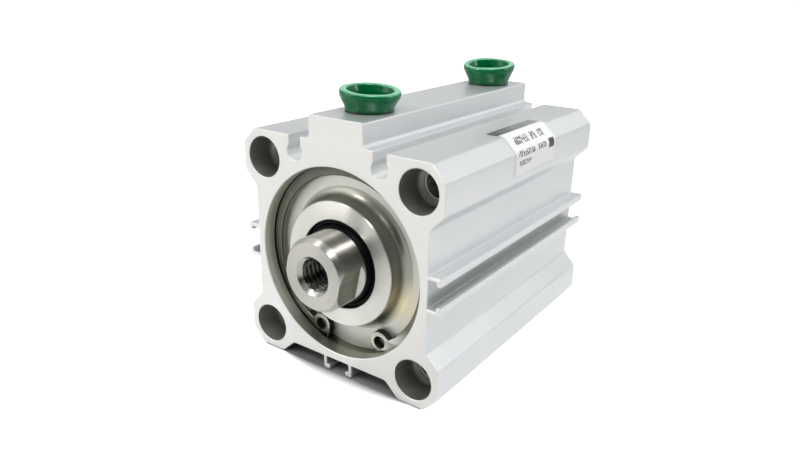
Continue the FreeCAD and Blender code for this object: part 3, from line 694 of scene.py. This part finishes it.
def turned_piece(name, corners, rounds, finishes, columns=144, solid=False, sharp=32, depths=()):
    """A profile of (depth behind the front face, radius) spun about the rod axis. A solid one starts and
    ends on the axis, others close on themselves. Depths say how far down each finish but the last goes."""
    profile = rounded(corners, rounds, closed=not solid)
    points = spin(-profile[:, 0], profile[:, 1], even_angles(columns))
    faces = grid_faces(len(profile), columns, wrap_rows=not solid)
    bands = np.searchsorted(depths, profile[:, 0])
    zones = np.repeat(bands[:-1] if solid else bands, columns)
    make_piece(name, points, faces, finishes, "tube", name, zones, sharp)


def make_rod_cover():
    """The cover: a raised hub with softened edges, a wide root fillet and a flat flange that the ring holds,
    then an O-ring groove and a spigot, with the seats of bush and seal inside."""
    hub, flange, fillet, hub_end, rim = 13.8, 5.0, 2.2, 0.7, 20.95
    root = arc((flange - fillet, hub + fillet), fillet, -90, 0, 10)
    corners = np.vstack([[(0.5, 9.8), (0.5, hub)], root, [
        (flange, rim), (6.0, rim), (6.0, 19.3), (8.2, 19.3), (8.2, rim), (9.0, rim), (9.0, 18.5),
        (18.5, 18.5), (18.5, 9.0), (7.0, 9.0), (7.0, 8.3), (6.2, 8.3), (6.2, 11.5), (1.7, 11.5), (1.7, 9.8),
    ]])
    rounds = [0.25, 0.3] + [0] * len(root) + [0.15] + [0.05] * 14
    # The root fillet's finish holds painted shade
    finishes = [HUB, HUB_ROOT_PAINTED_SHADE, COVER]
    depths = (hub_end, flange - 0.01)
    turned_piece("rod_cover", corners, rounds, finishes, columns=180, depths=depths)


def make_rod_seal():
    """The seal: a collar in the hub's mouth, with a wiping lip in front and a sealing lip behind."""
    corners = [
        (6.15, 11.45), (1.75, 11.45), (1.75, 9.7), (1.4, 9.7), (1.4, 8.9), (-0.1, 8.45), (-0.1, 8.06),
        (3.0, 8.06), (3.5, 8.7), (4.95, 8.7), (5.55, 8.05), (6.15, 8.05),
    ]
    rounds = [0.2, 0.2, 0.1, 0.25, 0.4, 0.15, 0.1, 0.2, 0.3, 0.3, 0.15, 0.15]
    turned_piece("rod_seal", corners, rounds, [RUBBER], sharp=60)


def make_head_plate():
    """The rear plate: a disc with an O-ring groove, a chamfer for the rolled lip and a small centre mark."""
    rear = LENGTH - LIP_FACE
    rim, mark = 20.95, 1.2
    corners = [
        (63.0, 0.0), (63.0, 18.5), (64.5, 18.5), (64.5, rim), (65.3, rim), (65.3, 19.5), (67.3, 19.5),
        (67.3, rim), (rear - LIP_LENGTH, rim), (rear, LIP_RADIUS - 0.05), (rear, mark), (rear - mark, 0.0),
    ]
    turned_piece("head_plate", corners, 0.08, [PLATE], solid=True)


def make_retaining_ring():
    """The ring: a plate with softened edges, between a circle and the smooth minimum of an offset circle and
    the near sides of the lug circles. It ends in the lug circles, each with a hole. Painted shade darkens
    the holes, the band's soft edge and the lugs' walls."""
    outside, inside, offset, lug_circle, lug, hole = 21.9, 18.85, 0.3, 18.9, 2.45, 1.3
    lug_angle, turn, blend, front, rear, soft = 25.75, 2.85, 0.35, 3.25, 5.0, 0.16
    reach = math.degrees(math.asin(lug / lug_circle)) * 0.999
    band_start = lug_angle + 2 * reach
    side = np.linspace(lug_angle - reach, band_start, 40)
    band = np.linspace(band_start, 360 - band_start, 150)[1:-1]
    angles = np.radians(np.hstack([side, band, 360 - side[::-1]]))
    lug_turn = math.radians(lug_angle)
    from_gap = np.minimum(angles, FULL_TURN - angles)
    away = np.abs(from_gap - lug_turn)
    chord = np.sqrt(np.maximum(lug ** 2 - (lug_circle * np.sin(away)) ** 2, 0))
    near = np.where(away < math.radians(reach), lug_circle * np.cos(away) - chord, outside)
    band_edge = offset * np.cos(angles) + np.sqrt(inside ** 2 - (offset * np.sin(angles)) ** 2)
    inner = -blend * np.logaddexp(-near / blend, -band_edge / blend)
    past_lug = from_gap < lug_turn
    inner = np.where(past_lug, near, inner)
    outer = np.where(past_lug, lug_circle * np.cos(away) + chord, outside)

    def at(radius, angle):
        angle = angle + math.radians(turn)
        return np.stack([radius * np.sin(angle), -radius * np.cos(angle)], axis=-1)

    outline = np.vstack([at(outer, angles), at(inner, angles)[::-1]])
    # The dark zone is painted shade
    plate, edge, dark = range(3)
    at_lug = away < 1.7 * math.radians(reach)
    at_lug = np.hstack([at_lug, at_lug[::-1]])
    walls = np.where(at_lug, dark, edge)
    band_zones = [np.where(at_lug, plate, dark), dark, walls, walls]
    lugs = [at(lug_circle, spot) for spot in (lug_turn, -lug_turn)]
    holes = [(arc(spot, hole, 0, -360, 28)[:-1], [dark] * 4) for spot in lugs]
    levels = [
        (soft, -front), (soft * 0.3, -front - soft * 0.3), (0.0, -front - soft), (0.0, -rear + soft),
        (soft, -rear),
    ]
    shell = Shell()
    ends = []
    for loop, zones in [(outline, band_zones)] + holes:
        ends.append(shell.tunnel([at_x(inset(loop, inward), x) for inward, x in levels], zones))
    shell.end_caps(ends, plate)
    make_piece(
        "retaining_ring", shell.points, shell.faces, [SPRING, SPRING_EDGE, PAINTED_SHADE_DARK], "tube",
        "retaining_ring", shell.zones,
    )


# Rod


def rod_columns(flat_turn, half_flat):
    """Angles of the rod's columns, one on each edge of its two flats, and which columns start on a flat."""
    counts = [18, 36, 18, 36]
    edges = np.array([-half_flat, half_flat, np.pi - half_flat, np.pi + half_flat, FULL_TURN - half_flat])
    edges += flat_turn
    spans = [np.linspace(*ends, endpoint=False) for ends in zip(edges, edges[1:], counts)]
    return np.hstack(spans), np.repeat([True, False, True, False], counts)


def make_rod():
    """The rod from the bottom of its tapped hole, over the end face and along the outside to the spigot and
    the piston screw's hole. Near the front no radius is over the flats' distance divided by the cosine of
    the angle from their middle, and the rows where taper, flats and round meet follow that line."""
    reach, radius, face, taper, soft = ROD_REACH, 8.0, 7.15, 1.1, 0.15
    flat, flat_end, flat_turn = 7.0, reach - 6.2, math.radians(-12.0)
    drill, mouth, pitch, thread_length, thread_height = 3.32, 4.3, 1.25, 13.0, 0.68
    point, hole_depth, run_out = 2.0, 16.0, 0.5
    spigot, groove, screw_hole = 6.0, 4.9, 3.05
    angles, on_flat = rod_columns(flat_turn, math.acos(flat / radius))
    facing = np.abs(np.cos(angles - flat_turn))
    limit = np.minimum(flat / np.maximum(facing, 0.1), radius)

    turns = np.arange(reach - thread_length, reach, pitch / 10)
    fade = np.clip(np.minimum(turns - turns[0], reach - turns - run_out) / pitch, 0, 1)[:, None]
    cone = mouth - (reach - turns)[:, None]
    cut = np.maximum(drill + thread(turns, angles, pitch, thread_height) * fade, cone)

    corners = np.array([(reach, mouth), (reach, face), (reach - taper, radius)])
    edge = bend(*corners, soft, 3)
    edge_x, edge_radius = edge[-1]
    sloped = np.clip((limit - edge_radius) / (radius - edge_radius), 0, 1)
    taper_end = edge_x + (reach - taper - edge_x) * sloped
    slope_end = flat_end - np.maximum(radius * facing - flat, 0)
    rear = [
        (-50.4, radius), (-50.4, spigot), (-52.0, spigot), (-52.0, groove), (-53.5, groove), (-53.5, spigot),
        (-58.2, spigot), (-58.6, 5.6), (-58.6, screw_hole), (-44.0, screw_hole), (-42.0, 0.0),
    ]
    rows = [(reach - hole_depth - point, 0.0), (reach - hole_depth, drill), *zip(turns, cut), (reach, mouth)]
    first = len(rows)
    rows += [(x, np.minimum(r, limit)) for x, r in edge]
    rows += [(taper_end, limit), (flat_end, limit), (slope_end, radius), *rear]
    stations, radii = [[np.broadcast_to(values, len(angles)) for values in column] for column in zip(*rows)]

    outside, flats, end_face, threads, step, sink, tapered = range(7)
    finishes = [ROD, ROD_FLAT, ROD_END, THREAD_PAINTED_SHADE, ROD_STEP_PAINTED_LIGHT, COUNTERSINK, ROD_TAPER]
    zones = np.full((len(rows) - 1, len(angles)), outside)
    zones[:first - 1] = threads
    zones[np.argmax(turns > reach - (mouth - drill)) + 2:first] = sink
    zones[first - 1:first + 1] = end_face
    last = first + len(edge)
    zones[last - 1] = tapered
    zones[last, on_flat] = flats
    zones[last + 1] = step
    make_piece(
        "piston_rod", spin(stations, radii, angles), grid_faces(len(rows), len(angles)), finishes, "rod",
        "piston_rod", zones.reshape(-1), sharp=28,
    )


# Plugs


def make_plug(name, body, plug_box, rim, height, tilt, lean, wave, dents, seed):
    """A soft cup: a rounded profile spun about the port's axis. Its rim leans and tilts, with a few slow
    waves that die away towards the stem. A dent, as (angle, level, width, depth), is a bell-shaped bite out
    of the wall, or with a depth below zero a bulge."""
    middle = (plug_box[0] + plug_box[1]) / 2
    stem = plug_box[0][2] - BOSS_TOP
    columns, neck, foot, bowl, floor = 96, 4.3, 5.2, 3.3, 1.0
    corners = [
        (0.0, stem), (3.95, stem), (neck, -0.2), (neck, 0.02), (foot, 0.02), (5.12, 0.8),
        (rim - 0.1, height - 1.55), (rim + 0.05, height - 0.7), (rim - 0.25, height),
        (rim - 1.45, height - 0.05), (rim - 1.9, height - 1.4), (neck, 1.2), (bowl, 0.6),
        (bowl, stem + floor), (0.0, stem + floor),
    ]
    rounds = [0, 0.4, 0.1, 0, 0.12, 1.6, 2.5, 0.9, 0.45, 0.45, 1.2, 0.5, 0.3, 0.6, 0]
    profile = rounded(corners, rounds, steps=6, closed=False)
    angles = even_angles(columns)
    radii = np.repeat(profile[:, :1], columns, axis=1)
    levels = np.repeat(profile[:, 1:], columns, axis=1)
    raised = np.clip(levels / height, 0, 1) ** 1.5
    phases = np.random.default_rng(seed).uniform(0, FULL_TURN, len(wave))

    def waves(counts, starts):
        return sum(size * np.cos(count * angles + start) for count, size, start in zip(counts, wave, starts))

    slope = tilt[0] * np.cos(angles) + tilt[1] * np.sin(angles)
    radii = radii * (1 + raised * waves((2, 3, 5, 7), phases) / rim)
    levels = levels + raised * (waves((2, 3, 4, 6), 2 * phases) - radii * slope)
    for angle, level, width, depth in dents:
        turn = (angles - math.radians(angle) + np.pi) % FULL_TURN - np.pi
        hollow = np.exp(-(turn * rim / width) ** 2 - ((levels - level) / (0.5 * width)) ** 2)
        radii = radii - depth * hollow
    x = middle[0] + radii * np.cos(angles) + raised * lean[0]
    y = middle[1] + radii * np.sin(angles) + raised * lean[1]
    points = np.stack([x, y, BOSS_TOP + levels], axis=-1)
    faces = grid_faces(len(profile), columns)
    finish = plug_finish(name + "_plastic", middle, tilt, height)
    make_piece(name, points, faces, [finish], body, name, sharp=75)


# Label


def label_finish():
    """Printed film: a dark band along its upper edge that a painted sheen lightens along its length, then
    white with a box and rows of random cells.
    """
    graph = Finish("label_film", {})
    across = graph.node("Attribute", attribute_name="across")["Fac"]
    along = graph.node("Attribute", attribute_name="along")["Fac"]
    tone = graph.patches(200.0)
    band_end = 0.215

    def inside(value, low, high):
        return graph.times(graph.math("GREATER_THAN", value, low), graph.math("LESS_THAN", value, high))

    def field(low, high, start, end):
        return graph.times(inside(across, low, high), inside(along, start, end))

    def cells(value, count):
        return graph.math("FLOOR", graph.times(value, count))

    def row(low, high, start, end, share, columns=96.0, group=4.0):
        column = cells(along, columns)
        spot = graph.joined(column, cells(across, 4.0 / (high - low)))
        random = graph.node("TexWhiteNoise", {"Vector": spot}, noise_dimensions="2D")["Value"]
        gap = graph.math("GREATER_THAN", graph.math("FLOORED_MODULO", column, group), 0.5)
        inked = graph.times(graph.math("LESS_THAN", random, share), gap)
        return graph.times(field(low, high, start, end), inked)

    rows = [
        (0.37, 0.51, 0.13, 0.44, 0.62), (0.37, 0.51, 0.50, 0.64, 0.75), (0.37, 0.51, 0.70, 0.82, 0.7),
        (0.62, 0.72, 0.07, 0.47, 0.68), (0.62, 0.72, 0.53, 0.76, 0.68), (0.78, 0.87, 0.09, 0.38, 0.68),
    ]
    ink = field(0.60, 0.76, 0.82, 0.96)
    for spot in rows:
        ink = graph.math("MAXIMUM", ink, row(*spot))
    white = graph.tint(tone, (246, 247, 248), (251, 251, 252))
    colour = graph.mix(ink, white, srgb(40, 42, 44))
    # Painted sheen: the dark band lightens along the label
    band = graph.tint(graph.span(along, 0.1, 0.9), (66, 76, 72), (140, 146, 138))
    marks = row(0.06, 0.15, 0.12, 0.62, 0.5, columns=72.0)
    band = graph.mix(graph.times(marks, 0.35), band, srgb(190, 194, 186))
    colour = graph.mix(graph.math("LESS_THAN", across, band_end), colour, band)
    graph.feed(graph.inputs["Base Color"], colour)
    graph.feed(graph.inputs["Roughness"], graph.span(tone, 0.2, 0.8, 0.3, 0.38))
    return graph.material


def make_label():
    """The label: a strip folded over the tube's corner. Its section is a path over top, corner flat and side
    with a small thickness outwards, and two point values run across and along it for the print."""
    lift, thick, count = 0.01, 0.1, 44
    corners = [(LABEL_START, HALF), (CORNER, HALF), (HALF, CORNER), (HALF, LABEL_EDGE)]
    path = rounded(corners, CORNER_ROUND, steps=8, closed=False)
    steps = np.hstack([0, np.cumsum(np.linalg.norm(np.diff(path, axis=0), axis=1))])
    even = np.linspace(0, steps[-1], count)
    path = np.stack([np.interp(even, steps, path[:, 0]), np.interp(even, steps, path[:, 1])], axis=-1)
    slope = np.gradient(path, axis=0)
    slope /= np.linalg.norm(slope, axis=1)[:, None]
    outward = np.stack([-slope[:, 1], slope[:, 0]], axis=-1)
    section = np.vstack([path + lift * outward, (path + thick * outward)[::-1]])
    stations = np.linspace(LABEL_HIGH[0], LABEL_LOW[0], 24)
    points = np.vstack([at_x(section, x) for x in stations])
    faces = grid_faces(len(stations), len(section)).tolist()
    first = list(range(len(section)))
    faces += [first, [number + (len(stations) - 1) * len(section) for number in reversed(first)]]
    piece = make_piece("label", points, faces, [label_finish()], "tube", "label", sharp=50)
    across = np.hstack([even, even[::-1]]) / steps[-1]
    along = np.linspace(0, 1, len(stations))
    values = {"across": np.tile(across, len(stations)), "along": np.repeat(along, len(section))}
    for name, value in values.items():
        attribute = piece.data.attributes.new(name, "FLOAT", "POINT")
        attribute.data.foreach_set("value", value.astype(np.float32))


make_tube()
make_rod_cover()
make_rod_seal()
make_head_plate()
make_retaining_ring()
make_rod()
make_plug(
    "front_port_plug", "front_plug", FRONT_PLUG_BOX, rim=6.4, height=4.5, tilt=(0.025, 0.075),
    lean=(-0.1, 0.15), wave=(0.04, 0.03, 0.015, 0.01),
    dents=[(55, 1.5, 1.5, -0.16), (62, 2.5, 1.6, 0.12)], seed=3,
)
make_plug(
    "rear_port_plug", "rear_plug", REAR_PLUG_BOX, rim=6.55, height=5.2, tilt=(0.11, 0.02),
    lean=(0.05, -0.1), wave=(0.06, 0.05, 0.02, 0.01), dents=[(45, 1.6, 1.5, -0.14)], seed=8,
)
make_label()

INNER_FINISHES = {
    "rod_bush": BRONZE, "cover_o_ring": RUBBER, "head_o_ring": RUBBER, "rod_o_ring": RUBBER,
    "piston_front": PLATE, "piston_rear": PLATE, "magnet": MAGNET, "piston_seal": RUBBER, "wear_ring": RESIN,
    "front_bumper": URETHANE, "rear_bumper": URETHANE, "piston_screw": SCREW,
}
for node, finish in INNER_FINISHES.items():
    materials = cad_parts[node].data.materials
    materials.clear()
    materials.append(finish)

# Studio

FLOOR_LEVEL = TUBE_LOW[2] * MM
FLOOR_REACH = 4.0
FOOT_EDGE = (CORNER - 0.7) * MM
# The gap under the bottom: its middle, half its width, and the painted shadow's soft edge in it and beside
# it
GAP_MIDDLE, GAP_HALF, GAP_SOFT, FOOT_SOFT = 2.0 * MM, 17.5 * MM, 3.8 * MM, 0.4 * MM
# How far from the foot the floor's grey darkens into a painted shadow
PAINTED_SHADE_REACH = 4.0 * MM
# What mirrors see of the floor, near and far, and the share left towards the camera
MIRRORED_NEAR, MIRRORED_FAR, MIRRORED_AHEAD = 0.7, 0.4, 0.5

# Brightness ahead of the tube by half turns about the rod, from the right over the top to the left
ROOM_STRIPS = [(0.0, 0.4), (0.04, 0.02), (0.28, 0.02), (0.32, 0.35), (0.85, 0.5), (1.0, 1.0)]
LAMP_STRIPS = [
    (0.345, 0.0), (0.355, 1.0), (0.4, 1.0), (0.41, 0.0), (0.648, 0.0), (0.652, 0.3), (0.66, 0.3),
    (0.664, 0.0),
]
LAMP_GAIN, ROOM_LIGHT = 24.0, 0.66
GREY_OVERHEAD = (0.7, 0.71, 0.73, 1)


def make_camera():
    """The camera, from its place, the way it looks and its upward direction."""
    place = Vector((0.101153, 0.087034, 0.058028))
    look = Vector((-0.768596, -0.539317, -0.344088))
    up = Vector((-0.268180, -0.216695, 0.938681))
    data = bpy.data.cameras.new("camera")
    data.lens = 31.144
    data.sensor_width = 36.0
    data.clip_start = 0.005
    camera = add_object("camera", data)
    turn = Matrix((look.cross(up), up, -look)).transposed()
    camera.matrix_world = Matrix.Translation(place) @ turn.to_4x4()
    bpy.context.scene.camera = camera


def floor_finish():
    """Matt grey that glows white for the camera. The glow fades in from the foot's edge, most softly at the
    gap under the bottom, and the grey darkens near the foot, so a painted shadow lies at the tube's foot
    along with the real one. Mirrors see less of it, and least far away and towards the camera."""
    material = bpy.data.materials.new("white_floor")
    material.use_nodes = True
    graph = Graph(material.node_tree)
    material.node_tree.nodes.clear()
    place = graph.node("TexCoord")["Object"]
    x, y, _ = graph.parts(place)

    def past(value, limit):
        return graph.math("MAXIMUM", graph.math("SUBTRACT", graph.math("ABSOLUTE", value), limit), 0.0)

    half_length = LENGTH * MM / 2
    beyond = past(graph.plus(x, half_length), half_length)
    away = graph.vector("LENGTH", graph.joined(beyond, past(y, FOOT_EDGE)))["Value"]
    rays = graph.node("LightPath")
    mirrored = graph.math("MAXIMUM", rays["Is Glossy Ray"], rays["Is Transmission Ray"])
    heading = graph.vector("NORMALIZE", graph.scaled(place, (1, 1, 0)))["Vector"]
    ahead = graph.vector("DOT_PRODUCT", heading, (0.7, 0.7, 0))["Value"]
    near = graph.span(away, 0.05, 0.2, MIRRORED_NEAR, MIRRORED_FAR)
    near = graph.times(near, graph.span(ahead, 0.72, 0.92, 1.0, MIRRORED_AHEAD))
    seen = graph.math("MAXIMUM", rays["Is Camera Ray"], graph.times(mirrored, near))
    # The glow fades in from the foot, leaving a painted shadow that is widest under the middle
    inward = graph.math("DIVIDE", graph.math("SUBTRACT", y, GAP_MIDDLE), GAP_HALF)
    soft = graph.span(graph.times(inward, inward), 0.0, 1.0, GAP_SOFT, FOOT_SOFT)
    strength = graph.times(seen, graph.math("MINIMUM", graph.math("DIVIDE", away, soft), 1.0))
    glow = graph.node("Emission", {"Color": WHITE, "Strength": strength})[0]
    # Painted shadow: the floor's grey is darker close to the foot
    tone = graph.mix(graph.span(away, 0.0, PAINTED_SHADE_REACH), (0.24, 0.24, 0.24, 1), (0.5, 0.5, 0.5, 1))
    matt = graph.node("BsdfDiffuse", {"Color": tone})[0]
    both = graph.node("AddShader", {0: glow, 1: matt})[0]
    graph.node("OutputMaterial", {"Surface": both})
    return material


def make_floor():
    """A wide square floor that the tube stands on."""
    mesh = bpy.data.meshes.new("floor")
    far = FLOOR_REACH
    corners = [(x, y, FLOOR_LEVEL) for x, y in ((-far, -far), (far, -far), (far, far), (-far, far))]
    mesh.from_pydata(corners, [], [(0, 1, 2, 3)])
    mesh.materials.append(floor_finish())
    add_object("floor", mesh)


def make_world():
    """A white backdrop for the camera, and for the light a pale room, grey overhead. Ahead of the tube it
    has strips by the angle about the rod: dark where the photographer stands, then dusk, with a wide and a
    thin lamp in it, and light on the left."""
    world = bpy.data.worlds.new("studio")
    bpy.context.scene.world = world
    world.use_nodes = True
    graph = Graph(world.node_tree)
    world.node_tree.nodes.clear()
    x, y, z = graph.parts(graph.node("TexCoord")["Generated"])
    sky = graph.mix(graph.span(z, 0.4, 0.95), WHITE, GREY_OVERHEAD)
    turn = graph.math("DIVIDE", graph.math("ARCTAN2", z, y), math.pi)
    lit = graph.times(graph.span(x, 0.02, 0.14), graph.span(x, 0.6, 0.5))
    lamps = graph.times(graph.ramp(turn, LAMP_STRIPS), graph.times(lit, LAMP_GAIN))
    room = graph.plus(graph.ramp(turn, ROOM_STRIPS), lamps)
    colour = graph.mix(graph.span(x, -0.35, -0.05), sky, room)
    light = graph.node("Background", {"Color": colour, "Strength": ROOM_LIGHT})[0]
    backdrop = graph.node("Background", {"Color": WHITE, "Strength": 1.0})[0]
    seen = graph.node("LightPath")["Is Camera Ray"]
    both = graph.node("MixShader", {0: seen, 1: light, 2: backdrop})[0]
    graph.node("OutputWorld", {"Surface": both})


def make_lamp(name, place, size, power, target=(0, 0, 0)):
    """A square soft lamp that faces a point."""
    data = bpy.data.lights.new(name, "AREA")
    data.size = size
    data.energy = power
    lamp = add_object(name, data)
    lamp.location = place
    lamp.rotation_euler = (Vector(target) - Vector(place)).to_track_quat("-Z", "Y").to_euler()


make_camera()
make_floor()
make_world()
make_lamp("back_softbox", (-0.65, 0.30, 0.45), 0.6, 0.6, (-0.03, 0, 0))
make_lamp("top_softbox", (0.10, 0.26, 0.80), 0.1, 0.8)
make_lamp("front_softbox", (0.55, -0.65, 0.35), 0.6, 2.0)
make_lamp("left_softbox", (0.35, -0.28, 0.49), 0.1, 0.65)
make_lamp("right_softbox", (-0.45, 0.80, 0.40), 0.3, 1.35, (-0.03, 0, 0))
bpy.context.scene.view_settings.view_transform = "Standard"
